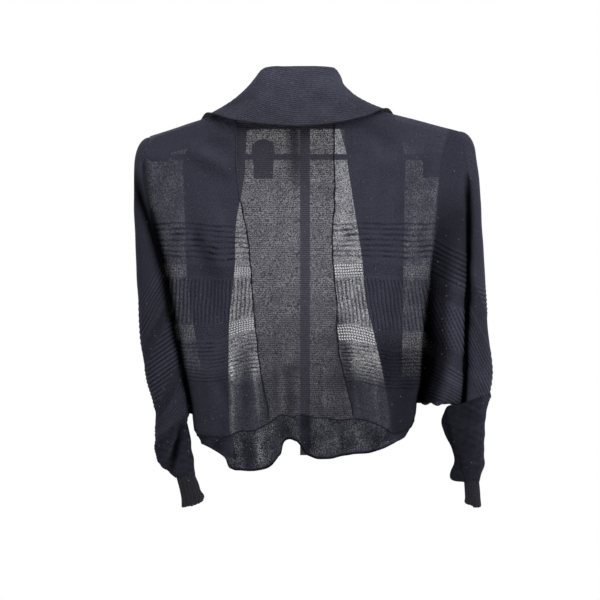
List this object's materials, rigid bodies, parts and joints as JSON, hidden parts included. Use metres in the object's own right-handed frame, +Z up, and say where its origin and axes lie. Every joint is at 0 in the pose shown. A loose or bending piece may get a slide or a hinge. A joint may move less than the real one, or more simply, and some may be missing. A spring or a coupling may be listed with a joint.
{
  "type": "batwing cardigan on a clip hanger",
  "caption": "Sheer dark knit batwing cardigan with a folded shawl collar, open at the front, hanging filled out on a clip hanger with a post.",
  "frame": {"origin": "lower end of the hanger's post, where a stand holds it", "axes": "+Z up along the post, the cardigan's back faces -Y and its open front +Y, +X is the wearer's right"},
  "size_m": [0.4566, 0.0968, 0.5566],
  "materials": {
    "back_knit": "matt fine rib",
    "wing_knit": "matt fine knit",
    "cuff_knit": "matt rolled jersey",
    "collar_knit": "matt fine rib",
    "hem_knit": "matt sheer jersey",
    "hanger_plastic": "satin",
    "clip_plastic": "satin"
  },
  "bodies": {
    "root": {"back_panel": "back_knit", "wing_left": "wing_knit", "wing_right": "wing_knit", "cuff_left": "cuff_knit", "cuff_right": "cuff_knit", "shawl_collar": "collar_knit", "hem_band": "hem_knit", "hanger_arms": "hanger_plastic", "hanger_post": "hanger_plastic", "hanger_bar_left": "hanger_plastic", "hanger_bar_right": "hanger_plastic", "clip_left": "clip_plastic", "clip_right": "clip_plastic"}
  },
  "joints": []
}
